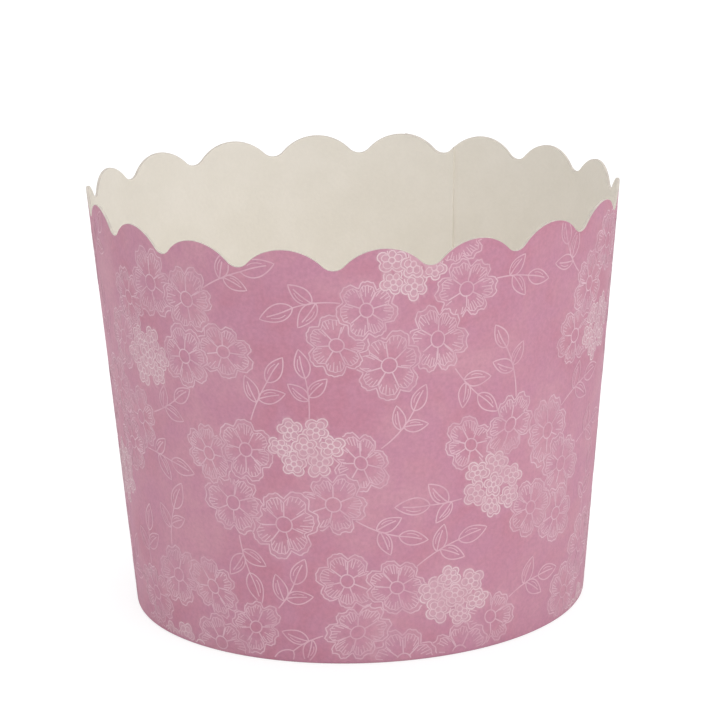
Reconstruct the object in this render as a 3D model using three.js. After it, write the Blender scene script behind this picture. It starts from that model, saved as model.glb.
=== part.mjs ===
// Scalloped card baking cup, in millimetres, +Z up, with its front at -Y.
// A conical side wall of card is closed by a glued lap and cut in scallops along the rim.
// At the foot the card is folded in and up again, and grips the skirt of a flat base disc.

import * as THREE from 'three';

// Side wall
const footDiameter = 60;
const rimDiameter = 69.6;
const valleyHeight = 52.7;
const cardThickness = 0.35;
const foldRadius = 0.3;

// Scallops along the rim
const scallopCount = 18;
const scallopDepth = 2.6;
const valleyRadius = 1.9;
const firstValleyAngle = -2.7;

// The open rim is not quite round: it is pressed oval, and a little three- and four-sided
const ovalAmount = 0.61;
const ovalAngle = 31;
const threeSidedAmount = 0.71;
const threeSidedAngle = -15;
const fourSidedAmount = 0.25;
const fourSidedAngle = -21;

// Nor is it quite level: it rises and falls twice round the cup
const rimWaveHeight = 0.28;
const rimWaveAngle = -74;

// Lap seam, where one end of the card is glued over the other
const lapStartAngle = 154;
const lapWidth = 7.5;
const lapEaseAngle = 30;
const cutEdgeSlope = 0.02;

// Base disc and the hem that holds it
const glueGap = 0.05;
const recessDepth = 4;
const bendRadius = 0.25;
const hemClearance = 0.6;

// Fineness of the faceted surfaces
const stepsPerValleySide = 2;
const stepsPerLobeSide = 5;
const arcSteps = 2;
const discSteps = 120;
const rimTableSteps = 1440;

const { degToRad, lerp, smoothstep, euclideanModulo } = THREE.MathUtils;
const fullTurn = 2 * Math.PI;
const halfTurn = Math.PI;
const wallStandOff = glueGap + cardThickness;
const hemHeight = recessDepth - hemClearance;

// Angles run from the front (-Y) towards the right (+X)
function pointAround(angle, radius, height) {
  return new THREE.Vector3(radius * Math.sin(angle), -radius * Math.cos(angle), height);
}

// A wave that goes up and down a whole number of times round the cup
function waveAround(angle, times, amount, peakAngle) {
  return amount * Math.cos(times * (angle - degToRad(peakAngle)));
}

// Radius of the rim's outer face at the level of the scallop valleys
function rimRadius(angle) {
  const oval = waveAround(angle, 2, ovalAmount, ovalAngle);
  const threeSided = waveAround(angle, 3, threeSidedAmount, threeSidedAngle);
  const fourSided = waveAround(angle, 4, fourSidedAmount, fourSidedAngle);
  return rimDiameter / 2 + oval + threeSided + fourSided;
}

function valleyLevel(angle) {
  return valleyHeight + waveAround(angle, 2, rimWaveHeight, rimWaveAngle);
}

// The rim line as seen from above, from the back of the cup once round
class RimLine extends THREE.Curve {
  getPoint(share) {
    const angle = fullTurn * (share - 0.5);
    return pointAround(angle, rimRadius(angle), valleyHeight);
  }
}

const rimLine = new RimLine();
rimLine.arcLengthDivisions = rimTableSteps;
const rimLength = rimLine.getLength();
const scallopPitch = rimLength / scallopCount;
const firstValley = rimLength * (0.5 + firstValleyAngle / 360);

// Length along the rim line from the back to an angle
function lengthAlongRim(angle) {
  const lengths = rimLine.getLengths();
  const place = (angle / fullTurn + 0.5) * rimTableSteps;
  const index = Math.min(Math.floor(place), rimTableSteps - 1);
  return lerp(lengths[index], lengths[index + 1], place - index);
}

// A small arc in each valley meets the large arc of the lobe where their slopes agree
const halfPitch = scallopPitch / 2;
const meetingSlope = 2 * Math.atan(scallopDepth / halfPitch);
const lobeRadius = halfPitch / Math.sin(meetingSlope) - valleyRadius;
const valleyReach = valleyRadius * Math.sin(meetingSlope);

// Height of the cut edge above the valleys, at a distance from the nearest valley
function scallopRise(distance) {
  if (distance < valleyReach) {
    return valleyRadius - Math.sqrt(valleyRadius ** 2 - distance ** 2);
  }
  return scallopDepth - lobeRadius + Math.sqrt(lobeRadius ** 2 - (halfPitch - distance) ** 2);
}

function topHeight(angle) {
  const along = euclideanModulo(lengthAlongRim(angle) - firstValley, scallopPitch);
  return valleyLevel(angle) + scallopRise(Math.min(along, scallopPitch - along));
}

// The two ends of the card: the inner one starts the lap, the outer one closes it
const lapStart = degToRad(lapStartAngle);
const lapSpan = (2 * lapWidth) / rimDiameter;
const lapEase = degToRad(lapEaseAngle);

// How far an angle lies past the start of the lap, or before it where negative
function pastLapStart(angle) {
  return euclideanModulo(angle - lapStart + halfTurn, fullTurn) - halfTurn;
}

function layersAt(angle) {
  const past = pastLapStart(angle);
  return past > 0 && past < lapSpan ? 2 : 1;
}

// Before the lap the card climbs by its own thickness to pass over the inner end
function liftAt(angle) {
  const past = pastLapStart(angle);
  return past < 0 ? cardThickness * smoothstep(past, -lapEase, 0) : 0;
}

// The doubled card is pressed in by half its thickness, and so is the skirt behind it
function pressAt(angle) {
  const past = pastLapStart(angle);
  const before = smoothstep(past, -lapEase, 0);
  const after = smoothstep(past, lapSpan, lapSpan + lapEase);
  return (cardThickness / 2) * before * (1 - after);
}

// The seat is the outer face of the base's skirt, and that cone carried on up to the rim
function seatRadius(angle, height) {
  const cone = lerp(footDiameter / 2, rimRadius(angle), height / valleyLevel(angle));
  return cone - wallStandOff - pressAt(angle);
}

// Points of a quarter circle about a centre, between two angles in degrees
function quarterArc(centreOffset, centreHeight, radius, fromAngle, toAngle) {
  const points = [];
  for (let step = 0; step <= arcSteps; step += 1) {
    const turn = degToRad(lerp(fromAngle, toAngle, step / arcSteps));
    const offset = centreOffset + radius * Math.cos(turn);
    points.push([offset, centreHeight + radius * Math.sin(turn)]);
  }
  return points;
}

// Closed section of the side wall at one angle, as offsets from the seat and heights
function wallSection(angle) {
  const inner = glueGap + liftAt(angle);
  const outer = inner + layersAt(angle) * cardThickness;
  const hemNear = -cardThickness - inner;
  const hemFar = -cardThickness - outer;
  const top = topHeight(angle);
  return [
    ...quarterArc(outer - foldRadius, foldRadius, foldRadius, 0, -90),
    ...quarterArc(hemFar + foldRadius, foldRadius, foldRadius, -90, -180),
    [hemFar, hemHeight],
    [hemNear, hemHeight],
    [hemNear, cardThickness],
    [inner, cardThickness],
    [inner, top],
    [outer, top],
  ];
}

// Half section of the base disc, from the top of its plate round the skirt to its underside
function discSection() {
  const skirtFoot = cardThickness + glueGap;
  const bendOffset = -cardThickness - bendRadius;
  const bendHeight = recessDepth - bendRadius;
  return [
    ...quarterArc(bendOffset, bendHeight, bendRadius + cardThickness, 90, 0),
    [0, skirtFoot],
    [-cardThickness, skirtFoot],
    ...quarterArc(bendOffset, bendHeight, bendRadius, 0, 90),
  ];
}

// Sections set round the cup, joined into one skin; poles close a skin that covers the middle
function skinAround(angles, sectionAt, closed, poleHeights) {
  const rings = angles.map((angle) =>
    sectionAt(angle).map(([offset, height]) =>
      pointAround(angle, seatRadius(angle, height) + offset, height)));
  const ringSize = rings[0].length;
  const points = rings.flat();
  const triangles = [];
  const vertex = (ring, place) => (ring % rings.length) * ringSize + (place % ringSize);
  const strips = closed ? ringSize : ringSize - 1;
  for (let ring = 0; ring < rings.length; ring += 1) {
    for (let place = 0; place < strips; place += 1) {
      const here = vertex(ring, place);
      const below = vertex(ring, place + 1);
      const nextBelow = vertex(ring + 1, place + 1);
      const next = vertex(ring + 1, place);
      triangles.push(here, below, nextBelow, here, nextBelow, next);
    }
  }
  poleHeights.forEach((height, pole) => {
    const centre = points.push(new THREE.Vector3(0, 0, height)) - 1;
    const place = pole === 0 ? 0 : ringSize - 1;
    for (let ring = 0; ring < rings.length; ring += 1) {
      const here = vertex(ring, place);
      const next = vertex(ring + 1, place);
      triangles.push(centre, ...(pole === 0 ? [here, next] : [next, here]));
    }
  });
  const geometry = new THREE.BufferGeometry().setFromPoints(points);
  geometry.setIndex(triangles);
  geometry.computeVertexNormals();
  return geometry;
}

// Angles that follow the scallops closely, with a pair of stations at each end of the lap
function wallAngles() {
  const distances = [];
  for (let step = 0; step < stepsPerValleySide; step += 1) {
    distances.push((valleyReach * step) / stepsPerValleySide);
  }
  for (let step = 0; step < stepsPerLobeSide; step += 1) {
    distances.push(lerp(valleyReach, halfPitch, step / stepsPerLobeSide));
  }
  const lobe = [...distances, halfPitch, ...distances.slice(1).reverse().map((d) => scallopPitch - d)];
  const angles = [];
  for (let scallop = 0; scallop < scallopCount; scallop += 1) {
    for (const distance of lobe) {
      const along = euclideanModulo(firstValley + scallop * scallopPitch + distance, rimLength);
      angles.push(fullTurn * (rimLine.getUtoTmapping(along / rimLength) - 0.5));
    }
  }
  const halfStep = cutEdgeSlope / rimDiameter;
  const cutEdges = [lapStart, lapStart + lapSpan];
  const clear = angles.filter((angle) =>
    cutEdges.every((edge) => Math.abs(angle - edge) > 4 * halfStep));
  const pairs = cutEdges.flatMap((edge) => [edge - halfStep, edge + halfStep]);
  return [...clear, ...pairs].sort((first, second) => first - second);
}

function discAngles() {
  return Array.from({ length: discSteps }, (_, step) => fullTurn * (step / discSteps - 0.5));
}

function printedCard() {
  return new THREE.MeshStandardMaterial({ color: 0xc58a9c, roughness: 0.75, metalness: 0 });
}

function plainCard() {
  return new THREE.MeshStandardMaterial({ color: 0xe6dfd2, roughness: 0.85, metalness: 0 });
}

function sideWall() {
  const mesh = new THREE.Mesh(skinAround(wallAngles(), wallSection, true, []), printedCard());
  mesh.name = 'side_wall';
  return mesh;
}

function baseDisc() {
  const plateTop = recessDepth + cardThickness;
  const skin = skinAround(discAngles(), discSection, false, [plateTop, recessDepth]);
  const mesh = new THREE.Mesh(skin, plainCard());
  mesh.name = 'base_disc';
  return mesh;
}

// The cup stands with the middle of its rim over the origin
const rimBox = new THREE.Box3().setFromPoints(rimLine.getPoints(rimTableSteps));
const rimMiddle = rimBox.getCenter(new THREE.Vector3());

const group = new THREE.Group();
group.add(sideWall(), baseDisc());
group.position.set(-rimMiddle.x, -rimMiddle.y, 0);

export default group;
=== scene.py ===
# %% [markdown]
# # A scalloped card baking cup
# This cup is food-grade card, printed pink outside and left cream inside. A flat sector of card is
# printed, cut in scallops along one edge, rolled into a cone, glued along a lap and folded in at the
# foot round a flat base disc. Every shape below is a formula on a grid, worked out with numpy, so
# each part can be redrawn finer or coarser by changing one number.

# %% Load the fixed model
import math
from collections import namedtuple

import bpy
import numpy as np
from mathutils import Matrix, Vector


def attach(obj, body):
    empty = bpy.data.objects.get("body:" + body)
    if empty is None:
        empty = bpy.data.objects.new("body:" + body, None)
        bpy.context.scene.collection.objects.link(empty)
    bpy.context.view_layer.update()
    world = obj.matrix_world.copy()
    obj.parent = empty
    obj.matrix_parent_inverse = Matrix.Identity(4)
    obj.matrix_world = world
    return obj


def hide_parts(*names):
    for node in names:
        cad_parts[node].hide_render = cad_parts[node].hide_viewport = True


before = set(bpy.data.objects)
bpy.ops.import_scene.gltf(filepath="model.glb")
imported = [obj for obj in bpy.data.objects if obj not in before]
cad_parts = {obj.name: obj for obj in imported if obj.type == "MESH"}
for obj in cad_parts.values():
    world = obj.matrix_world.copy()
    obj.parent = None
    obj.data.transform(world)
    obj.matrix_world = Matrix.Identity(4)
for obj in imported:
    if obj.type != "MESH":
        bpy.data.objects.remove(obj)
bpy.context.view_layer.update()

MM = 0.001

# %% [markdown]
# ## The shape of the cup
# The side wall is a ruled surface: straight lines run from a round foot to a rim that was pressed
# slightly out of round. Angles run from the front (-Y) towards the right (+X), and lengths are in
# millimetres until a mesh is made. The same sizes give the wall, the print and the base disc, so
# they always meet.

# %% Sizes of the cup
FOOT_RADIUS, RIM_RADIUS, VALLEY_HEIGHT = 30.0, 34.8, 52.7
CARD, GLUE = 0.35, 0.05
FOLD_RADIUS, BEND_RADIUS = 0.3, 0.25
SCALLOPS, SCALLOP_DEPTH, VALLEY_RADIUS = 18, 2.6, 1.9
FIRST_VALLEY = math.radians(-2.7)
OVAL, OVAL_ANGLE = 0.61, math.radians(31)
THREE_SIDED, THREE_SIDED_ANGLE = 0.71, math.radians(-15)
FOUR_SIDED, FOUR_SIDED_ANGLE = 0.25, math.radians(-21)
RIM_WAVE, RIM_WAVE_ANGLE = 0.28, math.radians(-74)
LAP_START, LAP_WIDTH, LAP_EASE = math.radians(154), 7.5, math.radians(30)
LAP_SPAN = LAP_WIDTH / RIM_RADIUS
RECESS, HEM_CLEARANCE = 4.0, 0.6
HEM_HEIGHT = RECESS - HEM_CLEARANCE
TURN = 2 * math.pi
RIM_STEPS = 7200


def rim_radius(angle):
    """A circle plus cosine waves that go in and out two, three and four times."""
    oval = OVAL * np.cos(2 * (angle - OVAL_ANGLE))
    three_sided = THREE_SIDED * np.cos(3 * (angle - THREE_SIDED_ANGLE))
    return RIM_RADIUS + oval + three_sided + FOUR_SIDED * np.cos(4 * (angle - FOUR_SIDED_ANGLE))


def valley_level(angle):
    """Height of the scallops' valleys: level, plus a cosine wave that rises twice."""
    return VALLEY_HEIGHT + RIM_WAVE * np.cos(2 * (angle - RIM_WAVE_ANGLE))


def around(angle, radius):
    """The point at an angle from the front, at a radius from the foot's axis."""
    return radius * np.sin(angle), -radius * np.cos(angle)


# Angles from the back once round, and the length along the rim line up to each of them
TABLE = np.linspace(-math.pi, math.pi, RIM_STEPS + 1)
RIM_X, RIM_Y = around(TABLE, rim_radius(TABLE))
RIM_LENGTHS = np.concatenate([[0], np.cumsum(np.hypot(np.diff(RIM_X), np.diff(RIM_Y)))])
RIM_LENGTH = RIM_LENGTHS[-1]
PITCH = RIM_LENGTH / SCALLOPS
VALLEY_START = RIM_LENGTH * (0.5 + FIRST_VALLEY / TURN)
MIDDLE = np.array([np.ptp(RIM_X) / 2 + RIM_X.min(), np.ptp(RIM_Y) / 2 + RIM_Y.min()])
print("rim length", round(RIM_LENGTH, 2), "mm, scallop pitch", round(PITCH, 2), "mm")

# %% [markdown]
# ## The scalloped edge
# A die cuts the edge as a small arc in each valley and a large arc over each lobe, which meet with
# one slope. Both arcs follow from the pitch, the depth and the valley's radius, so the edge needs
# no drawn points.

# %% The cut edge
HALF = PITCH / 2
SLOPE = 2 * math.atan(SCALLOP_DEPTH / HALF)
LOBE_RADIUS = HALF / math.sin(SLOPE) - VALLEY_RADIUS
REACH = VALLEY_RADIUS * math.sin(SLOPE)


def top_height(angle):
    """Height of the cut edge: the valley arc near a valley, and the lobe arc elsewhere."""
    along = (np.interp(angle, TABLE, RIM_LENGTHS) - VALLEY_START) % PITCH
    near = np.minimum(along, PITCH - along)
    valley = VALLEY_RADIUS - np.sqrt(np.maximum(VALLEY_RADIUS**2 - np.minimum(near, REACH)**2, 0))
    lobe = SCALLOP_DEPTH - LOBE_RADIUS + np.sqrt(LOBE_RADIUS**2 - (HALF - near)**2)
    return valley_level(angle) + np.where(near < REACH, valley, lobe)


print("lobe radius", round(LOBE_RADIUS, 2), "mm, valley arc", round(2 * REACH, 2), "mm wide")

# %% [markdown]
# ## The glued lap
# One end of the card is glued over the other. Before the lap the outer end climbs by one thickness
# in an S-curve, and the doubled card is pressed in by half a thickness. Both faces of the wall are
# offsets from one seat: the outer face of the base's skirt, carried up as a cone to the rim.

# %% The lap and the faces of the wall
def smooth_step(value, low, high):
    """Zero below low, one above high, and an S-shaped cubic between them."""
    share = np.clip((value - low) / (high - low), 0, 1)
    return share * share * (3 - 2 * share)


def wrapped(angle):
    """The same direction, as an angle from minus half a turn to half a turn."""
    return (angle + math.pi) % TURN - math.pi


def lift(angle):
    """How far the card has climbed to pass over its inner end: an S-curve that stops there."""
    past = wrapped(angle - LAP_START)
    return np.where(past < 0, CARD * smooth_step(past, -LAP_EASE, 0), 0)


def layers(angle):
    """Two layers of card within the lap, and one elsewhere."""
    past = wrapped(angle - LAP_START)
    return np.where((past > 0) & (past < LAP_SPAN), 2, 1)


def seat_radius(angle, height):
    """Outer face of the base's skirt, carried up as a cone and pressed in under the lap."""
    share = height / valley_level(angle)
    past = wrapped(angle - LAP_START)
    press = smooth_step(past, -LAP_EASE, 0)
    press = press * (1 - smooth_step(past, LAP_SPAN, LAP_SPAN + LAP_EASE)) * CARD / 2
    cone = FOOT_RADIUS * (1 - share) + rim_radius(angle) * share
    return cone - GLUE - CARD - press


def outer_radius(angle, height):
    """Printed face of the side wall."""
    return seat_radius(angle, height) + GLUE + lift(angle) + layers(angle) * CARD


print("lap", round(math.degrees(LAP_START)), "to", round(math.degrees(LAP_START + LAP_SPAN)), "degrees")

# %% [markdown]
# ## The camera
# The view looks down by about fifteen degrees from a little under half a metre, through a long
# lens, as a product photograph does. Distance, tilt and lens length were fitted to the outline of
# the rim and the foot.

# %% Place the camera
CAMERA_DISTANCE = 441.94
CAMERA_TILT = math.radians(15.262)
CAMERA_ROLL = math.radians(-1.698)
CAMERA_SIDE, CAMERA_RISE = 0.395, 30.90
IMAGE_SIZE, FOCAL_PIXELS, SENSOR_WIDTH = 713, 3273.1, 36

forward = np.array([0, math.cos(CAMERA_TILT), -math.sin(CAMERA_TILT)])
level = np.array([1.0, 0, 0])
upward = np.cross(level, forward)
right = math.cos(CAMERA_ROLL) * level + math.sin(CAMERA_ROLL) * upward
up = -math.sin(CAMERA_ROLL) * level + math.cos(CAMERA_ROLL) * upward
place = -CAMERA_DISTANCE * forward + CAMERA_SIDE * level + CAMERA_RISE * upward
place[:2] -= MIDDLE

camera_data = bpy.data.cameras.new("view")
camera_data.sensor_width = SENSOR_WIDTH
camera_data.lens = SENSOR_WIDTH * FOCAL_PIXELS / IMAGE_SIZE
camera = bpy.data.objects.new("view", camera_data)
matrix = np.eye(4)
matrix[:3, 0], matrix[:3, 1], matrix[:3, 2], matrix[:3, 3] = right, up, -forward, place * MM
camera.matrix_world = Matrix(matrix.tolist())
bpy.context.scene.collection.objects.link(camera)
bpy.context.scene.camera = camera
print("lens", round(camera_data.lens, 1), "mm, camera at", np.round(place, 1), "mm")

# %% [markdown]
# ## Studio
# The cup stands on a pale floor in soft light that comes a little from the right and the front.
# Part of the floor's brightness is its own, seen only by the camera and in reflections, so the
# ground reads as white while the foot still has its soft contact shadow.

# %% Helpers for colours, nodes and materials
def colour(code):
    """sRGB hex to linear: each channel over 255, then the sRGB curve undone."""
    channels = np.array([int(code[start:start + 2], 16) for start in (1, 3, 5)]) / 255
    curved = ((channels + 0.055) / 1.055) ** 2.4
    linear = np.where(channels <= 0.04045, channels / 12.92, curved)
    return (*[float(value) for value in linear], 1.0)


def add_node(tree, kind, links=None, **settings):
    """Adds one node, with its settings, and with its inputs linked to sockets or set to values."""
    node = tree.nodes.new(kind)
    for name, value in settings.items():
        setattr(node, name, value)
    for name, value in (links or {}).items():
        if isinstance(value, bpy.types.NodeSocket):
            tree.links.new(value, node.inputs[name])
        else:
            node.inputs[name].default_value = value
    return node


def arithmetic(tree, operation, first, second):
    """The socket that holds one sum of two sockets or values."""
    return add_node(tree, "ShaderNodeMath", {0: first, 1: second}, operation=operation).outputs[0]


def empty_material(name):
    """A new material's node tree, its output node, and the material."""
    material = bpy.data.materials.new(name)
    material.use_nodes = True
    material.node_tree.nodes.clear()
    return material.node_tree, material.node_tree.nodes.new("ShaderNodeOutputMaterial"), material


print("middle grey in linear light:", round(colour("#808080")[0], 3))

# %% Floor, world and lamps
FLOOR_SEEN, FLOOR_BOUNCE, FLOOR_GLOW = 0.30, 0.80, 0.76
FLOOR_REACH = 4.0
WORLD_LEVEL = 0.88
LAMP_AIM = (0, 0, 0.028)
# Each lamp's place and width in metres, and its power in watts
LAMPS = {
    "key": ((0.52, -0.81, 0.80), 1.0, 4.2),
    "top": ((0.0, 0.15, 1.10), 0.9, 6.0),
}


def seen_directly(tree):
    """One for rays from the camera, a mirror or through glass, and zero for diffuse rays."""
    path = add_node(tree, "ShaderNodeLightPath").outputs
    first = arithmetic(tree, "MAXIMUM", path["Is Camera Ray"], path["Is Glossy Ray"])
    return arithmetic(tree, "MAXIMUM", first, path["Is Transmission Ray"])


def floor_paint():
    """White matte paint, part of whose brightness is a glow that only direct views see."""
    tree, output, material = empty_material("matte_floor_paint")
    direct = seen_directly(tree)
    white = add_node(tree, "ShaderNodeMapRange",
                     {"Value": direct, "To Min": FLOOR_BOUNCE, "To Max": FLOOR_SEEN})
    base = add_node(tree, "ShaderNodeBsdfDiffuse", {"Color": white.outputs["Result"]})
    strength = arithmetic(tree, "MULTIPLY", direct, FLOOR_GLOW)
    glow = add_node(tree, "ShaderNodeEmission", {"Strength": strength})
    both = add_node(tree, "ShaderNodeAddShader", {0: base.outputs[0], 1: glow.outputs[0]})
    tree.links.new(both.outputs[0], output.inputs["Surface"])
    return material


def lay_floor():
    """One square, far wider than the picture."""
    sides = [(-1, -1), (1, -1), (1, 1), (-1, 1)]
    mesh = bpy.data.meshes.new("floor")
    mesh.from_pydata([(x * FLOOR_REACH, y * FLOOR_REACH, 0) for x, y in sides], [], [(0, 1, 2, 3)])
    mesh.materials.append(floor_paint())
    floor = bpy.data.objects.new("floor", mesh)
    bpy.context.scene.collection.objects.link(floor)


def light_world():
    """An even world: full white where it is seen directly, and a little less as a light."""
    world = bpy.data.worlds.new("studio")
    world.use_nodes = True
    tree = world.node_tree
    tree.nodes.clear()
    extra = arithmetic(tree, "MULTIPLY", seen_directly(tree), 1 - WORLD_LEVEL)
    strength = arithmetic(tree, "ADD", extra, WORLD_LEVEL)
    sky = add_node(tree, "ShaderNodeBackground", {"Strength": strength})
    add_node(tree, "ShaderNodeOutputWorld", {"Surface": sky.outputs[0]})
    bpy.context.scene.world = world


def hang_lamps():
    """Soft square lamps that face the middle of the cup."""
    for name, (spot, size, power) in LAMPS.items():
        lamp = bpy.data.lights.new(name, "AREA")
        lamp.size, lamp.energy = size, power
        holder = bpy.data.objects.new(name, lamp)
        holder.location = spot
        holder.rotation_euler = (Vector(LAMP_AIM) - Vector(spot)).to_track_quat("-Z", "Y").to_euler()
        bpy.context.scene.collection.objects.link(holder)


lay_floor()
light_world()
hang_lamps()
bpy.context.scene.view_settings.view_transform = "Standard"
print("studio:", list(LAMPS), "and an even world at", WORLD_LEVEL)

# %% [markdown]
# ## Meshes from grids
# Every piece is a grid of points: rings of one section each, set side by side round the cup. The
# grid's quads come from index arithmetic, and closing the grid both ways gives a sealed skin. The
# map named OFBake gives each face a place in a flat square, so that the printed face gets most room.

# %% Turn arrays into a mesh object
def cup_points(angle, radius, height):
    """Points about the foot's axis, moved so that the middle of the rim stands over the origin."""
    x, y = around(angle, radius)
    return np.stack([x - MIDDLE[0], y - MIDDLE[1], height], -1)


def new_piece(name, points, face_sets, materials, slots=None, corner_map=None, smooth=True):
    """Points in millimetres and arrays of faces, written to a mesh at the origin in metres."""
    mesh = bpy.data.meshes.new(name)
    corners = np.concatenate([faces.ravel() for faces in face_sets]).astype(np.int32)
    sizes = np.concatenate([np.full(len(faces), faces.shape[1]) for faces in face_sets])
    mesh.vertices.add(len(points))
    mesh.vertices.foreach_set("co", (points * MM).astype(np.float32).ravel())
    mesh.loops.add(len(corners))
    mesh.loops.foreach_set("vertex_index", corners)
    mesh.polygons.add(len(sizes))
    starts = np.concatenate([[0], np.cumsum(sizes)[:-1]]).astype(np.int32)
    mesh.polygons.foreach_set("loop_start", starts)
    if slots is not None:
        mesh.polygons.foreach_set("material_index", slots.astype(np.int32))
    mesh.polygons.foreach_set("use_smooth", np.full(len(sizes), smooth))
    for material in materials:
        mesh.materials.append(material)
    if corner_map is not None:
        layer = mesh.uv_layers.new(name="OFBake")
        layer.data.foreach_set("uv", corner_map.astype(np.float32).ravel())
    mesh.update(calc_edges=True)
    piece = bpy.data.objects.new(name, mesh)
    bpy.context.scene.collection.objects.link(piece)
    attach(piece, "root")
    print(name, "has", len(sizes), "faces")
    return piece


def ring_quads(columns, rows, closed):
    """Quads between each ring and the next, all round, and up each section; closed joins its ends."""
    strips = rows if closed else rows - 1
    ring, place = np.meshgrid(np.arange(columns), np.arange(strips), indexing="ij")
    after, below = (ring + 1) % columns, (place + 1) % rows
    quads = [ring * rows + place, ring * rows + below, after * rows + below, after * rows + place]
    return np.stack(quads, -1).reshape(-1, 4), ring.ravel(), place.ravel()


def mark_sharp(mesh, rows, sharp_rows, sharp_columns):
    """Edges that run along a sharp row, or up a sharp column, keep their crease in smooth shading."""
    ends = np.empty(len(mesh.edges) * 2, np.int32)
    mesh.edges.foreach_get("vertices", ends)
    ends = ends.reshape(-1, 2)
    row, column = ends % rows, ends // rows
    along = (row[:, 0] == row[:, 1]) & np.isin(row[:, 0], sharp_rows)
    across = (column[:, 0] == column[:, 1]) & np.isin(column[:, 0], sharp_columns)
    mesh.edges.foreach_set("use_edge_sharp", along | across)


# %% [markdown]
# ## The side wall
# The wall's section is a long thin hairpin: up the printed face, over the cut edge, down the cream
# face into the pocket that holds the base, and round the fold at the foot. Stations are even round
# the rim, with a pair close together at each end of the lap, where the card's edge makes a step.

# %% Stations and section rows
COLUMNS_PER_SCALLOP = 32
OUTER_ROWS, INNER_ROWS, ARC_ROWS = 96, 20, 5
EDGE_SOFTENING = 0.05
CUT_STEP, CLEARED_STEPS = 0.02, 4


def stations():
    """Even lengths along the rim from a valley, less those by the lap's ends, plus a pair there."""
    count = SCALLOPS * COLUMNS_PER_SCALLOP
    lengths = (VALLEY_START + np.arange(count) * RIM_LENGTH / count) % RIM_LENGTH
    angles = np.interp(lengths, RIM_LENGTHS, TABLE)
    ends = np.array([LAP_START, LAP_START + LAP_SPAN])
    clear = (np.abs(angles[:, None] - ends) > CLEARED_STEPS * CUT_STEP / RIM_RADIUS).all(1)
    pairs = (ends[:, None] + np.array([-1, 1]) * CUT_STEP / 2 / RIM_RADIUS).ravel()
    return np.sort(np.concatenate([angles[clear], pairs]))


def arc(centre_offset, centre_height, radius, start, stop):
    """Points of a circle about a centre, between two angles in degrees."""
    turn = np.radians(np.linspace(start, stop, ARC_ROWS))[:, None]
    return centre_offset + radius * np.cos(turn), centre_height + radius * np.sin(turn)


def wall_rows(angles):
    """Offsets from the seat and heights, row by row round the hairpin, with each row's finish."""
    one = np.ones_like(angles)
    near = GLUE + lift(angles)
    far = near + layers(angles) * CARD
    top = top_height(angles)
    rows, finishes = [], []

    def add(offset, height, finish):
        rows.append((offset * one, height * one))
        finishes.append(finish)

    for centre, start in ((far - FOLD_RADIUS, 0), (-CARD - far + FOLD_RADIUS, -90)):
        for offset, height in zip(*arc(centre, FOLD_RADIUS, FOLD_RADIUS, start, start - 90)):
            add(offset, height, "fold")
    add(-CARD - far, HEM_HEIGHT, "cut")
    add(-CARD - near, HEM_HEIGHT, "pocket")
    add(-CARD - near, CARD, "pocket")
    add(near, CARD, "inside")
    for share in np.linspace(0, 1, INNER_ROWS)[1:]:
        finish = "inside" if share < 1 else "cut"
        add(near, CARD + (top - EDGE_SOFTENING - CARD) * share, finish)
    add(near + EDGE_SOFTENING, top, "cut")
    add(far - EDGE_SOFTENING, top, "cut")
    for share in np.linspace(1, 0, OUTER_ROWS)[:-1]:
        add(far, FOLD_RADIUS + (top - EDGE_SOFTENING - FOLD_RADIUS) * share, "outside")
    return rows, np.array(finishes)


wall_angles = stations()
section_rows, row_finishes = wall_rows(wall_angles)
print(len(wall_angles), "stations round the wall, each with", len(section_rows), "rows")

# %% Places of the faces in the bake map
MAP_FILL, MAP_MARGIN = 0.99, 0.002
PRINT_WIDTH, PRINT_HEIGHT, PRINT_FILL = 0.80, 0.40, 0.98
INSIDE_FLOOR = 0.82
STRIP_START, STRIP_HEIGHT = 0.82, 0.80
TOP_LIMIT = VALLEY_HEIGHT + RIM_WAVE + SCALLOP_DEPTH


def share_round(angle):
    """Zero at the back, half at the front, and one at the back again."""
    return (angle + math.pi) / TURN


def wall_map(angles, heights, ring, place, finishes):
    """The printed face lies in two halves, one above the other, the cream face above both, and the
    fold and cut edges in a strip at the side."""
    columns, rows = heights.shape
    next_angles = np.append(angles[1:], angles[0] + TURN)
    low, high = angles[ring], next_angles[ring]
    angle = np.stack([low, low, high, high], -1)
    below, after = (place + 1) % rows, (ring + 1) % columns
    height = np.stack([heights[ring, place], heights[ring, below],
                       heights[after, below], heights[after, place]], -1)
    row = np.stack([place, place + 1, place + 1, place], -1)
    outside, inside = [(finishes[place] == finish)[:, None] for finish in ("outside", "inside")]
    half = ((low + high) / 2 > 0).astype(float)[:, None]
    across = (angle - (half - 1) * math.pi) / math.pi
    rise = height / TOP_LIMIT
    u = STRIP_START + row / rows * (MAP_FILL - STRIP_START)
    v = share_round(angle) * STRIP_HEIGHT
    u = np.where(inside, share_round(angle) * MAP_FILL, u)
    v = np.where(inside, INSIDE_FLOOR + rise * (MAP_FILL - INSIDE_FLOOR), v)
    u = np.where(outside, across * PRINT_WIDTH * MAP_FILL + MAP_MARGIN, u)
    v = np.where(outside, (rise * PRINT_FILL + half) * PRINT_HEIGHT + MAP_MARGIN, v)
    return np.clip(np.stack([u, v], -1), 0, 1)


# %% Build the side wall
SLOT_OF = {"outside": 0, "fold": 0, "inside": 1, "pocket": 1, "cut": 2}


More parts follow.
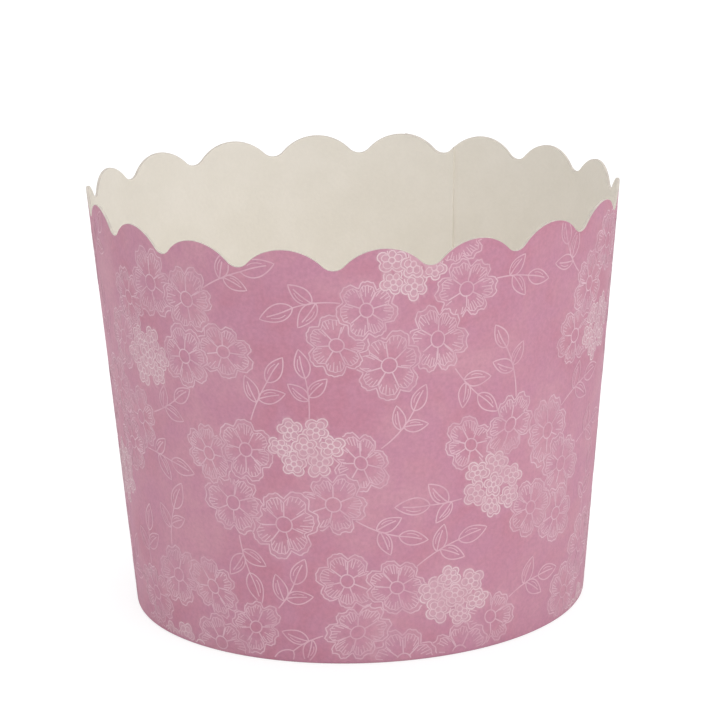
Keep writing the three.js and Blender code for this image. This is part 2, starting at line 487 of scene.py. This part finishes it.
def side_wall(angles, rows, finishes, materials, haze_at):
    """The hairpin section carried round the cup, with the haze of the print as an attribute."""
    offsets = np.stack([offset for offset, height in rows], -1)
    heights = np.stack([height for offset, height in rows], -1)
    everywhere = np.broadcast_to(angles[:, None], heights.shape)
    points = cup_points(everywhere, seat_radius(everywhere, heights) + offsets, heights)
    quads, ring, place = ring_quads(len(angles), len(finishes), True)
    pair = np.append(np.diff(angles), 1) < 2 * CUT_STEP / RIM_RADIUS
    outward = np.isin(finishes[place], ["outside", "fold"])
    at_end = np.abs(angles[ring] - LAP_START - LAP_SPAN) < CUT_STEP / RIM_RADIUS
    slots = np.array([SLOT_OF[finish] for finish in finishes])[place]
    # Only the outer end of the lap gets the raw edge's grey, with its painted shade: the inner one is
    # filled with glue and stays cream
    slots[pair[ring] & outward & at_end] = SLOT_OF["cut"]
    corner_map = wall_map(angles, heights, ring, place, finishes)
    piece = new_piece("card_side_wall", points.reshape(-1, 3), [quads], materials, slots, corner_map)
    edge_rows, first = np.flatnonzero(finishes == "cut"), np.flatnonzero(pair)
    mark_sharp(piece.data, len(finishes), np.append(edge_rows, edge_rows + 1), np.append(first, first + 1))
    haze = np.where(finishes[None, :] == "outside", haze_at(everywhere, heights), 0)
    layer = piece.data.attributes.new("haze", "FLOAT", "POINT")
    layer.data.foreach_set("value", haze.astype(np.float32).ravel())
    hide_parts("side_wall")


# %% [markdown]
# ## The base disc
# The base is a flat disc with its edge pressed down into a short skirt, which the folded foot of
# the wall grips. A press leaves a shallow ring in the plate just inside the bend, and the card
# sinks a little towards the middle.

# %% Build the base disc
DISC_COLUMNS, PLATE_ROWS = 240, 40
FIRST_RING, RING_SPACING = 0.004, 0.8
PLATE_RADIUS = FOOT_RADIUS - GLUE - 2 * CARD - BEND_RADIUS
HOLLOW = 0.12
PRESS_RING, PRESS_WIDTH, PRESS_DEPTH = 3.2, 0.5, 0.08
JUST_BELOW = 0.01


def disc_section():
    """Half a section: out from the middle over the plate, round the bend and the skirt, and back
    under the plate, as offsets from the seat and heights."""
    bend = -CARD - BEND_RADIUS
    run = PLATE_RADIUS * np.linspace(FIRST_RING, 1, PLATE_ROWS)[:-1] ** RING_SPACING
    outer = arc(bend, RECESS - BEND_RADIUS, BEND_RADIUS + CARD, 90, 0)
    inner = arc(bend, RECESS - BEND_RADIUS, BEND_RADIUS, 0, 90)
    skirt = [[0, CARD + GLUE], [-CARD, CARD + GLUE]]
    bends = [np.column_stack([offset.ravel(), height.ravel()]) for offset, height in (outer, inner)]
    plate = np.column_stack([run - PLATE_RADIUS + bend, np.full(len(run), RECESS + CARD)])
    under = np.column_stack([plate[::-1, 0], np.full(len(run), RECESS)])
    return np.concatenate([plate, bends[0], skirt, bends[1], under])


def disc_form(radius, height):
    """The plate sinks in a narrow ring and in its middle: a Gaussian groove and a sine hollow."""
    inside = np.clip(1 - radius / PLATE_RADIUS, 0, 1)
    groove = PRESS_DEPTH * np.exp(-((PLATE_RADIUS - radius - PRESS_RING) / PRESS_WIDTH) ** 2)
    hollow = HOLLOW * np.sin(inside * math.pi / 2) ** 2
    return np.where(height > RECESS - JUST_BELOW, -groove - hollow, 0)


def base_disc(material):
    """The half section carried round, with one point closing the plate's middle on each side."""
    section = disc_section()
    rows = len(section)
    angles = np.linspace(-math.pi, math.pi, DISC_COLUMNS, endpoint=False)[:, None]
    angles = np.broadcast_to(angles, (DISC_COLUMNS, rows))
    radius = seat_radius(angles, section[:, 1]) + section[:, 0]
    height = section[:, 1] + disc_form(radius, section[:, 1])
    points = cup_points(angles, radius, height).reshape(-1, 3)
    quads, _, _ = ring_quads(DISC_COLUMNS, rows, False)
    nothing, faces = np.zeros(2), np.array([RECESS + CARD, RECESS])
    poles = cup_points(nothing, nothing, faces + disc_form(nothing, faces))
    ring = np.arange(DISC_COLUMNS)
    after = (ring + 1) % DISC_COLUMNS
    top_pole, low_pole = [np.full(DISC_COLUMNS, len(points) + pole) for pole in (0, 1)]
    top = np.stack([top_pole, ring * rows, after * rows], -1)
    under = np.stack([low_pole, after * rows + rows - 1, ring * rows + rows - 1], -1)
    piece = new_piece("card_base_disc", np.concatenate([points, poles]), [quads, top, under], [material])
    skirt_foot = np.flatnonzero(np.isclose(section[:, 1], CARD + GLUE))
    mark_sharp(piece.data, rows, skirt_foot, [])
    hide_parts("base_disc")


print("the base's plate is", round(2 * PLATE_RADIUS, 1), "mm across, inside its bend")

# %% [markdown]
# ## The print
# The card is printed flat, in one pale ink on mottled pink: crescents of line-drawn blossoms, small
# starry sprays in their hollows, and leafy stems. Each line is a thin sealed ribbon lying on the
# card, because an ink line a sixth of a millimetre wide stays sharp as a surface at any distance.
# First come the drawings as flat points, then one function lays them all on the wall.

# %% Blossom outlines
# Petals, the dip between them and its sharpness, the notch at their tips, the teeth of the frill and
# its depth, and the strokes of the fringe on each petal
BLOOMS = {
    "fringed": {"petals": 6, "dip": 0.34, "sharp": 3.2, "notch": 0.10, "teeth": 6, "frill": 0.018,
                "strokes": 7},
    "round": {"petals": 7, "dip": 0.27, "sharp": 3.0, "notch": 0.00, "teeth": 4, "frill": 0.020,
              "strokes": 6},
    "star": {"petals": 5, "dip": 0.40, "sharp": 2.4, "notch": 0.00, "teeth": 0, "frill": 0.0,
             "strokes": 0},
}
LINE, THIN_LINE = 0.17, 0.125
LINE_STEP, FEWEST_STEPS, CLEFT_POINTS = 0.30, 10, 4
HEART_SHARE, FRINGE_SHARE, STAR_INNER = 0.23, 0.86, 0.72
FRINGE_SPREAD, FRINGE_LENGTHS, FRINGE_LEAN = 0.37, (0.12, 0.36), 0.03
NOTCH_WIDTH = 0.1
SWAY, UNEVEN, THIRD_WAVE = 0.10, 0.05, 0.8


def bloom_radius(theta, kind, hand):
    """Share of full radius: a power-law dip between petals, a Gaussian notch at each tip, a frill,
    and two slow cosine waves of the drawing hand that make no two petals alike."""
    form = BLOOMS[kind]
    phase = ((theta + SWAY * np.sin(theta + hand[0])) * form["petals"] / TURN) % 1 - 0.5
    swell = 1 - form["dip"] * np.abs(2 * phase) ** form["sharp"]
    notch = form["notch"] * np.exp(-((phase / NOTCH_WIDTH) ** 2))
    drawn = UNEVEN * (np.cos(2 * theta + hand[1]) + THIRD_WAVE * np.cos(3 * theta + hand[2]))
    return swell - notch + form["frill"] * np.cos(TURN * form["teeth"] * phase) + drawn


def polar(theta, radius):
    """Points at angles and radii about the middle of a blossom."""
    return np.stack([radius * np.cos(theta), radius * np.sin(theta)], -1)


def ring_line(radius, share, kind=None, hand=None):
    """A closed line: a circle, or a blossom's outline at a share of its size."""
    count = max(int(TURN * radius * share / LINE_STEP), FEWEST_STEPS)
    theta = np.linspace(0, TURN, count + 1)
    form = bloom_radius(theta, kind, hand) if kind else 1.0
    return polar(theta, radius * share * form)


def fringe_lines(kind, radius, hand, middles, random):
    """Short strokes from the second outline towards the heart, of chance lengths and leans."""
    form = BLOOMS[kind]
    offsets = np.linspace(-FRINGE_SPREAD, FRINGE_SPREAD, form["strokes"]) / form["petals"] * TURN
    lines = []
    for angle in (middles[:, None] + offsets).ravel():
        start = bloom_radius(np.array(angle), kind, hand) * FRINGE_SHARE
        end = start - random.uniform(*FRINGE_LENGTHS)
        lean = random.uniform(-FRINGE_LEAN, FRINGE_LEAN)
        stroke = polar(np.array([angle, angle + lean]), radius * np.array([start, end]))
        lines.append((stroke, THIN_LINE))
    return lines


def bloom_lines(kind, radius, hand, random):
    """Outline, heart, lines between the petals and a second outline, which on large blossoms has a
    fringe of short strokes."""
    petals = BLOOMS[kind]["petals"]
    clefts = np.arange(petals) * TURN / petals
    clefts = clefts - SWAY * np.sin(clefts + hand[0])
    edge = bloom_radius(clefts, kind, hand) * FRINGE_SHARE
    lines = [(ring_line(radius, 1, kind, hand), LINE), (ring_line(radius, HEART_SHARE), LINE)]
    for angle, reach in zip(clefts, edge):
        away = radius * np.linspace(HEART_SHARE, reach, CLEFT_POINTS)
        lines.append((polar(np.full(CLEFT_POINTS, angle), away), LINE))
    second = STAR_INNER if kind == "star" else FRINGE_SHARE
    lines.append((ring_line(radius, second, kind, hand), THIN_LINE))
    return lines + fringe_lines(kind, radius, hand, clefts + TURN / petals / 2, random)


print("blossoms:", {kind: form["petals"] for kind, form in BLOOMS.items()}, "petals")

# %% Stems and leaves
LEAF_POINTS, LEAF_SKEW, LEAF_FULLNESS, LEAF_WIDTH = 16, 0.8, 0.85, 0.5
RIB_POINTS, RIB_LENGTH, RIB_SWAY, RIB_TURN = 6, 0.78, 0.05, 3
INNER_PART, INNER_START, INNER_LENGTH, INNER_WIDTH = slice(3, 13), 0.12, 0.7, 0.62
STEM_STEPS = 19
# Each leaf's step along the stem, its lean and its usual length
STEM_LEAVES = [(19, 0.0, 4.2), (13, 0.85, 3.6), (14, -0.85, 3.6)]
LEAF_SIZES = (0.88, 1.1)


def turned(angle):
    """The matrix that turns rows of points by an angle when they are multiplied by it."""
    return np.array([[math.cos(angle), math.sin(angle)], [-math.sin(angle), math.cos(angle)]])


def leaf_lines(length, width):
    """A lance leaf along +X: half-width is a skewed sine, with a rib beside its middle."""
    share = np.linspace(0, 1, LEAF_POINTS)
    half = width / 2 * np.sin(math.pi * share ** LEAF_SKEW) ** LEAF_FULLNESS
    side = np.stack([length * share, half], -1)
    outline = np.concatenate([side, side[::-1][1:] * [1, -1]])
    along = np.linspace(0, RIB_LENGTH, RIB_POINTS) * length
    rib = np.stack([along, RIB_SWAY * width * np.sin(np.linspace(0, RIB_TURN, RIB_POINTS))], -1)
    inner_along = length * (INNER_START + INNER_LENGTH * share[INNER_PART])
    inner = np.stack([inner_along, half[INNER_PART] * INNER_WIDTH], -1)
    return [(outline, LINE), (rib, LINE), (inner, THIN_LINE)]


def leafy_stem(start, angle, length, bend, random):
    """A stem on a circular arc, with a leaf at its tip and a pair on the way, and the leaves' middles."""
    heading = angle + bend * np.linspace(0, 1, STEM_STEPS + 1)
    steps = np.stack([np.cos(heading), np.sin(heading)], -1) * length / STEM_STEPS
    path = np.array(start) + np.concatenate([[[0, 0]], np.cumsum(steps[:-1], 0)])
    lines, middles = [(path, LINE)], []
    for step, lean, usual in STEM_LEAVES:
        size = usual * random.uniform(*LEAF_SIZES)
        way = heading[step] + lean
        for points, width in leaf_lines(size, size * LEAF_WIDTH):
            lines.append((points @ turned(way) + path[step], width))
        middles.append(path[step] + size / 2 * np.array([math.cos(way), math.sin(way)]))
    return lines, np.array(middles)


print("each stem has", len(STEM_LEAVES), "leaves about", STEM_LEAVES[-1][-1], "mm long")

# %% From flat drawings to the wall
Bloom = namedtuple("Bloom", "kind radius angle height spot shape hand")
Line = namedtuple("Line", "points width angle height rank part")
BLOSSOM_PART, SPRAY_PART, LEAF_PART = range(3)


def on_wall(points, angle, height):
    """Flat millimetres about a cluster's middle to angle and height: width over radius, and rise."""
    z = height + points[:, 1]
    return wrapped(angle + points[:, 0] / outer_radius(np.full(len(z), angle), z)), z


def in_bloom(bloom, angle, height):
    """Share of a blossom's size at which points of the wall lie, below one inside its outline."""
    beside = wrapped(angle - bloom.angle) * outer_radius(bloom.angle, height)
    flat = np.stack([beside, height - bloom.height], -1) - bloom.spot
    local = flat @ np.linalg.inv(bloom.shape)
    theta = np.arctan2(local[..., 1], local[..., 0])
    full = bloom.radius * bloom_radius(theta, bloom.kind, bloom.hand)
    return np.hypot(local[..., 0], local[..., 1]) / full


def distances(first, second):
    """Distances over the wall between two sets of points given as angle and height."""
    beside = wrapped(first[:, None, 0] - second[None, :, 0]) * FOOT_RADIUS
    return np.hypot(beside, first[:, None, 1] - second[None, :, 1])


# %% Crescents of blossoms set round the wall
CLUSTERS_ROUND, CLUSTER_ROWS = 6, 3
CLUSTER_START, CLUSTER_FLOOR, CLUSTER_RISE = 0.22, 5.5, 20.0
CLUSTER_SHAKE, CLUSTER_TILT, SQUEEZES = 1.5, 0.8, (0.82, 1.0)
CRESCENT_BLOOMS, CRESCENT_RADIUS, CRESCENT_SPREAD, CRESCENT_SINK = 5, 10.6, math.radians(76), 0.55
BLOOM_SHAKE, FRINGED_SHARE, LARGEST_BLOOM, BLOOM_TAPER = 0.5, 0.6, 4.6, 0.6
HOLLOW_BLOOM = ("round", 4.3, -4.6, 4.0)
SPRAY_SPOT, SPRAY_REACH, SPRAY_STRETCH = (-3.6, -5.2), 2.6, 1.25
SPRAY_RING, STAR_SIZES = 6, (1.6, 1.9)
SEED = 11


def crescent(random):
    """Blossoms along an arc, largest in the middle, one in the hollow, and a spray of stars."""
    blooms = []
    for share in np.linspace(-1, 1, CRESCENT_BLOOMS):
        swing = share * CRESCENT_SPREAD
        x = CRESCENT_RADIUS * math.sin(swing) + random.uniform(-BLOOM_SHAKE, BLOOM_SHAKE)
        rise = math.cos(swing) - CRESCENT_SINK
        y = CRESCENT_RADIUS * rise + random.uniform(-BLOOM_SHAKE, BLOOM_SHAKE)
        kind = "fringed" if random.random() < FRINGED_SHARE else "round"
        blooms.append((kind, x, y, LARGEST_BLOOM - BLOOM_TAPER * abs(share)))
    blooms.append(HOLLOW_BLOOM)
    for number in range(SPRAY_RING + 1):
        swing = number * TURN / SPRAY_RING
        away = 0 if number == SPRAY_RING else SPRAY_REACH
        x = SPRAY_SPOT[0] + away * math.cos(swing) * SPRAY_STRETCH
        y = SPRAY_SPOT[1] + away * math.sin(swing)
        blooms.append(("star", x, y, random.uniform(*STAR_SIZES)))
    return blooms


def hand_drawn(turn, random):
    """The waves of one blossom's outline, and the matrix that spins it, squashes it along a chance
    axis, and turns it with its cluster."""
    hand = random.uniform(0, TURN, 3)
    spin, squeeze = random.uniform(0, TURN), random.uniform(*SQUEEZES)
    lean = random.uniform(0, math.pi)
    axis = np.array([math.cos(lean), math.sin(lean)])
    squash = np.eye(2) - (1 - squeeze) * np.outer(axis, axis)
    return hand, turned(spin) @ squash @ turn


def draw_blossoms(random):
    """Clusters in staggered rows: each one's place and turn, its blossoms, and all their lines."""
    clusters, placed, lines = [], [], []
    for row, column in np.ndindex(CLUSTER_ROWS, CLUSTERS_ROUND):
        angle = TURN * ((column + 0.5 * (row % 2) + CLUSTER_START) / CLUSTERS_ROUND - 0.5)
        shake = random.uniform(-CLUSTER_SHAKE, CLUSTER_SHAKE)
        height = CLUSTER_FLOOR + row * CLUSTER_RISE + shake
        tilt = random.uniform(-CLUSTER_TILT, CLUSTER_TILT) + (math.pi if (row + column) % 2 else 0)
        turn = turned(tilt)
        clusters.append((angle, height, turn))
        for kind, x, y, radius in crescent(random):
            hand, shape = hand_drawn(turn, random)
            spot, rank = np.array([x, y]) @ turn, len(placed)
            placed.append(Bloom(kind, radius, angle, height, spot, shape, hand))
            part = SPRAY_PART if kind == "star" else BLOSSOM_PART
            for points, width in bloom_lines(kind, radius, hand, random):
                lines.append(Line(points @ shape + spot, width, angle, height, rank, part))
    return clusters, placed, lines


hand_of_chance = np.random.default_rng(SEED)
cluster_places, placed_blooms, blossom_lines = draw_blossoms(hand_of_chance)
print(len(placed_blooms), "blossoms drawn in", len(blossom_lines), "lines")

# %% Stems in the gaps between the blossoms
# Where each stem starts about its cluster's middle, and its usual heading in radians
STEM_STARTS = [(-10.3, -3.3, 3.6), (10.3, -3.3, -0.4), (-6.5, 2.5, 2.4), (6.5, 2.5, 0.8),
               (0.0, 4.8, 1.6), (4.3, -4.6, -1.2), (-3.6, -5.2, -1.9)]
STEM_TRIES, STEM_TURN, STEM_BENDS, STEM_LENGTHS = 8, 0.7, (0.3, 0.9), (8.8, 10.6)
LEAF_ROOM, BLOOM_ROOM, RIM_ROOM = 0.7, 0.4, 0.5
FAR_AWAY, THINNED = -1e3, slice(None, None, 2)


def tried_stem(x, y, way, random):
    """One stem from a start, with a chance heading, bend and length."""
    heading = way + random.uniform(-STEM_TURN, STEM_TURN)
    bend = random.uniform(*STEM_BENDS) * random.choice([-1, 1])
    return leafy_stem((x, y), heading, random.uniform(*STEM_LENGTHS), bend, random)


def draw_stems(random, clusters, placed):
    """Stems grow from under the blossoms, where their leaves touch no blossom and no other stem."""
    hearts = [np.ravel(on_wall(bloom.spot[None], bloom.angle, bloom.height)) for bloom in placed]
    hearts = np.array(hearts)
    reaches = np.array([bloom.radius + BLOOM_ROOM for bloom in placed])
    taken = np.full((1, 2), FAR_AWAY)
    lines = []
    for angle, height, turn in clusters:
        for x, y, way in STEM_STARTS:
            for _ in range(STEM_TRIES):
                stem, middles = tried_stem(x, y, way, random)
                drawn = np.concatenate([points[THINNED] for points, width in stem]) @ turn
                spots = np.column_stack(on_wall(drawn, angle, height))
                leaves = np.column_stack(on_wall(middles @ turn, angle, height))
                clear = (leaves[:, 1] > 0) & (leaves[:, 1] < top_height(leaves[:, 0]) - RIM_ROOM)
                clear &= (distances(leaves, hearts) > reaches).all(1)
                if clear.all() and distances(spots, taken).min() > LEAF_ROOM:
                    taken = np.concatenate([taken, spots])
                    for points, width in stem:
                        lines.append(Line(points @ turn, width, angle, height, -1, LEAF_PART))
                    break
    return lines


stem_lines = draw_stems(hand_of_chance, cluster_places, placed_blooms)
print_lines = stem_lines + blossom_lines
print("leafy stems drawn in", len(stem_lines), "lines")

# %% [markdown]
# ## Ink ribbons
# Where two drawings overlap, the later blossom hides what is under it, and no line passes the cut
# edge. What is left is swept with a triangle: two corners lie just above the card and the third is
# sunk in it, so every ribbon is sealed and shows only its flat face.

# %% Lay the lines on the wall
EDGE_MARGIN, LAP_MARGIN = 0.08, 0.3
# A blossom whose middle lies below the first height or above the second doesn't reach the wall
PRINT_FLOOR, PRINT_TOP = -12, TOP_LIMIT + 6
CLUSTER_REACH, HIDING_SHARE, SCRAP_POINTS, SHORTEST = 26, 1.03, 3, 1e-9
# Columns of the table of points: its place and its two sides, then its line, rank and part
ANGLE, HEIGHT, LEFT_ANGLE, LEFT_HEIGHT, RIGHT_ANGLE, RIGHT_HEIGHT, NUMBER, RANK, PART = range(9)


def laid_lines(lines):
    """A table of every point of every line on the wall, with its two sides at half the width."""
    tables = []
    for number, line in enumerate(lines):
        ahead = np.gradient(line.points, axis=0)
        ahead /= np.maximum(np.hypot(ahead[:, 0], ahead[:, 1]), SHORTEST)[:, None]
        side = np.stack([-ahead[:, 1], ahead[:, 0]], -1) * line.width / 2
        columns = []
        for points in (line.points, line.points + side, line.points - side):
            columns.extend(on_wall(points, line.angle, line.height))
        tags = [np.full(len(side), value) for value in (number, line.rank, line.part)]
        tables.append(np.stack([*columns, *tags], -1))
    return np.concatenate(tables)


def printable(table, placed):
    """Which points may be printed: not past an edge, not under a later blossom, and not where only
    a scrap of a cut line is left."""
    angle, height = table[:, ANGLE], table[:, HEIGHT]
    keep = (height > FOLD_RADIUS + EDGE_MARGIN) & (height < top_height(angle) - EDGE_MARGIN)
    keep &= np.abs(angle - LAP_START - LAP_SPAN) > LAP_MARGIN / RIM_RADIUS
    for rank, bloom in enumerate(placed):
        if PRINT_FLOOR < bloom.height + bloom.spot[1] < PRINT_TOP:
            beside = np.abs(wrapped(angle - bloom.angle)) * FOOT_RADIUS
            close = np.flatnonzero(keep & (table[:, RANK] < rank) & (beside < CLUSTER_REACH))
            hidden = in_bloom(bloom, angle[close], height[close]) < HIDING_SHARE
            keep[close[hidden]] = False
    number = table[:, NUMBER].astype(int)
    fresh = np.append(True, (np.diff(number) != 0) | (keep[1:] != keep[:-1]))
    run = np.cumsum(fresh) - 1
    run_size, line_size = np.bincount(run)[run], np.bincount(number)[number]
    return keep & ((run_size == line_size) | (run_size > SCRAP_POINTS))


line_table = laid_lines(print_lines)
may_print = printable(line_table, placed_blooms)
print(len(line_table), "points laid on the wall, of which", may_print.sum(), "are printed")

# %% Sweep the ribbons
INK_PROUD, INK_SUNK = 0.012, 0.03
INK_STEP, INK_LEVELS = 0.003, 5
INK_PIECES = ("ink_blossoms", "ink_sprays", "ink_leaves")


def ribbon_points(angle, height, proud):
    """Points of the printed face, moved out or in by a small distance."""
    return cup_points(angle, outer_radius(angle, height) + proud, height)


def ink_ribbons(name, material, table, keep, part):
    """Triangles swept along the lines of one part, capped wherever a line starts or is cut."""
    chosen = keep & (table[:, PART] == part)
    joined = chosen[:-1] & chosen[1:] & (table[:-1, NUMBER] == table[1:, NUMBER])
    before = np.concatenate([[False], joined])
    after = np.concatenate([joined, [False]])
    used = before | after
    order = np.cumsum(used) - 1
    rows = table[used]
    proud = INK_PROUD + INK_STEP * (rows[:, NUMBER] % INK_LEVELS)
    left = ribbon_points(rows[:, LEFT_ANGLE], rows[:, LEFT_HEIGHT], proud)
    right_side = ribbon_points(rows[:, RIGHT_ANGLE], rows[:, RIGHT_HEIGHT], proud)
    keel = ribbon_points(rows[:, ANGLE], rows[:, HEIGHT], -INK_SUNK)
    points = np.stack([left, right_side, keel], 1).reshape(-1, 3)
    first = order[:-1][joined] * 3
    second = order[1:][joined] * 3
    faces = []
    for near, far in ((0, 1), (1, 2), (2, 0)):
        faces.append(np.stack([first + near, first + far, second + far, second + near], -1))
    starts = order[used & ~before] * 3
    ends = order[used & ~after] * 3
    faces.append(np.stack([starts, starts + 2, starts + 1], -1))
    faces.append(np.stack([ends, ends + 1, ends + 2], -1))
    corners = np.concatenate([face_set.ravel() for face_set in faces]) // 3
    u, v = share_round(rows[corners, ANGLE]), rows[corners, HEIGHT] / PRINT_TOP
    corner_map = np.clip(np.stack([u, v], -1), 0, 1)
    piece = new_piece(name, points, faces, [material], None, corner_map, smooth=False)
    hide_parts("side_wall")


# %% The soft tone inside the blossoms
SPRAY_HAZE, BLOOM_HAZE = 0.50, 0.20
HAZE_EDGE, HAZE_HEART = (0.95, 1.12), (0.2, 0.85)


def haze_at(angle, height):
    """How far the print lightens the card: whole sprays, and the outer part of other blossoms."""
    haze = np.zeros(angle.shape)
    for bloom in placed_blooms:
        near = np.abs(wrapped(angle - bloom.angle)) * FOOT_RADIUS < CLUSTER_REACH
        share = in_bloom(bloom, angle[near], height[near])
        inside = SPRAY_HAZE if bloom.kind == "star" else BLOOM_HAZE * smooth_step(share, *HAZE_HEART)
        haze[near] = np.maximum(haze[near], (1 - smooth_step(share, *HAZE_EDGE)) * inside)
    return haze


# %% [markdown]
# ## Finishes
# The card is bleached board. Outside it is printed with a mottled pink like watercolour, under a
# thin varnish that leaves it softly matte. Inside it is bare cream board whose fibres just show.
# The die leaves a raw edge that is greyer than either face: partly the board's own raw fibres, and partly
# painted shade, a darker grey than bare board.

# %% Nodes that several finishes share
FIBRE_DETAIL, FIBRE_ROUGHNESS = 3, 0.6
CARD_IOR, CARD_SHINE = 1.47, 0.35


def noise(tree, spot, size, detail=FIBRE_DETAIL, roughness=FIBRE_ROUGHNESS, distortion=0.0):
    """Noise whose features are about a size in millimetres across."""
    values = {"Vector": spot, "Scale": 1 / (size * MM), "Detail": detail,
              "Roughness": roughness, "Distortion": distortion}
    return add_node(tree, "ShaderNodeTexNoise", values).outputs["Fac"]


def stretched(tree, value, low, high):
    """A value from low to high becomes zero to one, with smooth ends."""
    links = {"Value": value, "From Min": low, "From Max": high}
    return add_node(tree, "ShaderNodeMapRange", links, interpolation_type="SMOOTHSTEP").outputs["Result"]


def blended(tree, share, first, second, kind="MIX"):
    """Two colours mixed by a share."""
    links = {0: share, 6: first, 7: second}
    return add_node(tree, "ShaderNodeMix", links, data_type="RGBA", blend_type=kind).outputs[2]


def speckled(tree, ground, value, low, high, darkest, lightest):
    """A colour times a number that goes from darkest to lightest as a value goes from low to high."""
    links = {"Value": value, "From Min": low, "From Max": high, "To Min": darkest, "To Max": lightest}
    grain = add_node(tree, "ShaderNodeMapRange", links).outputs["Result"]
    return blended(tree, 1.0, ground, grain, "MULTIPLY")


def card_shader(name, tint, roughness, grain, grain_depth):
    """Board with a base colour from its own nodes, matte, with a fine fibre relief."""
    tree, output, material = empty_material(name)
    spot = add_node(tree, "ShaderNodeTexCoord").outputs["Object"]
    base = tint(tree, spot)
    relief = add_node(tree, "ShaderNodeBump", {"Height": noise(tree, spot, grain), "Strength": 1.0,
                                               "Distance": grain_depth * MM})
    shader = add_node(tree, "ShaderNodeBsdfPrincipled",
                      {"Base Color": base, "Roughness": roughness, "IOR": CARD_IOR,
                       "Specular IOR Level": CARD_SHINE, "Normal": relief.outputs[0]})
    tree.links.new(shader.outputs[0], output.inputs["Surface"])
    return material


# %% Pink print, cream board, raw edge and pale ink
BLOTCH, CLOUD, FLECK, FIBRE = 15.0, 4.2, 1.1, 0.45
FLECK_STRENGTH = 0.30
CREAM_CLOUD, CREAM_FIBRE = 7.0, 0.5
DRAG, INK_CLOUD = 0.9, 3.4


def pink_wash(tree, spot):
    """Broad rosy blotches, pale and deep, mauve clouds in them, fine flecks, and the print's haze."""
    broad = noise(tree, spot, BLOTCH, roughness=0.55, distortion=0.3)
    cloud = noise(tree, spot, CLOUD, detail=4, distortion=0.4)
    fleck = stretched(tree, noise(tree, spot, FLECK, roughness=0.65), 0.62, 0.78)
    ground = blended(tree, stretched(tree, broad, 0.36, 0.66), colour("#C18396"), colour("#CA94A4"))
    ground = blended(tree, stretched(tree, cloud, 0.30, 0.72), ground, colour("#C38AA0"))
    weak = arithmetic(tree, "MULTIPLY", fleck, FLECK_STRENGTH)
    ground = blended(tree, weak, ground, colour("#B2768C"))
    haze = add_node(tree, "ShaderNodeAttribute", attribute_name="haze").outputs["Fac"]
    ground = blended(tree, haze, ground, colour("#DAB6C0"))
    return speckled(tree, ground, noise(tree, spot, FIBRE, detail=2), 0.3, 0.7, 0.93, 1.065)


def cream_board(tree, spot):
    """Cream with faint clouds and a fibre speckle."""
    cloud = stretched(tree, noise(tree, spot, CREAM_CLOUD, roughness=0.55), 0.3, 0.7)
    ground = blended(tree, cloud, colour("#ECE7DF"), colour("#E8E3DA"))
    return speckled(tree, ground, noise(tree, spot, CREAM_FIBRE), 0.0, 1.0, 0.965, 1.03)


def raw_edge_painted_shade(tree, spot):
    """Pressed fibres, greyer than either face, in slow light and dark patches: bare board's colour
    darkened with painted shade.
    """
    drag = stretched(tree, noise(tree, spot, DRAG), 0.35, 0.65)
    return blended(tree, drag, colour("#BAB2AA"), colour("#C4BCB2"))


def pale_ink(light, dark):
    """Ink that took a little unevenly: a light and a darker tone in slow clouds."""
    def tint(tree, spot):
        taken = stretched(tree, noise(tree, spot, INK_CLOUD), 0.34, 0.64)
        return blended(tree, taken, colour(dark), colour(light))
    return tint


def ink(name, light, dark):
    """Ink film: smoother than the card, with only a faint tooth."""
    return card_shader(name, pale_ink(light, dark), roughness=0.6, grain=0.8, grain_depth=0.004)


# Offset-printed and varnished card: a soft broad sheen, and a fine tooth that breaks it up
printed_card = card_shader("matte_printed_card", pink_wash, roughness=0.62, grain=0.42, grain_depth=0.018)
# Uncoated bleached board: no sheen, and a slightly woolly cream
cream_card = card_shader("uncoated_cream_card", cream_board, roughness=0.78, grain=0.5, grain_depth=0.02)
# Board sheared by a steel rule: a dull line whose grey is partly open fibres and partly painted shade
cut_card = card_shader("die_cut_card_edge_painted_shade", raw_edge_painted_shade, roughness=0.85, grain=0.2, grain_depth=0.02)
# Offset ink over the pink: as matte as the card, a little smoother, and never quite even
blossom_ink = ink("pale_pink_ink", "#DFBAC6", "#D4A8B7")
# The same ink printed twice, so nearly white
spray_ink = ink("opaque_pale_ink", "#E5CAD0", "#DDBBC4")
# The same ink thinned, so the pink shows through
leaf_ink = ink("thin_pale_ink", "#DEB5C2", "#D3A4B4")
card_finishes, inks = [printed_card, cream_card, cut_card], [blossom_ink, spray_ink, leaf_ink]
print("finishes:", [material.name for material in card_finishes + inks])

# %% Make the cup, and print each piece's count of faces
side_wall(wall_angles, section_rows, row_finishes, card_finishes, haze_at)
base_disc(cream_card)
for part_number, (ink_name, ink_material) in enumerate(zip(INK_PIECES, inks)):
    ink_ribbons(ink_name, ink_material, line_table, may_print, part_number)
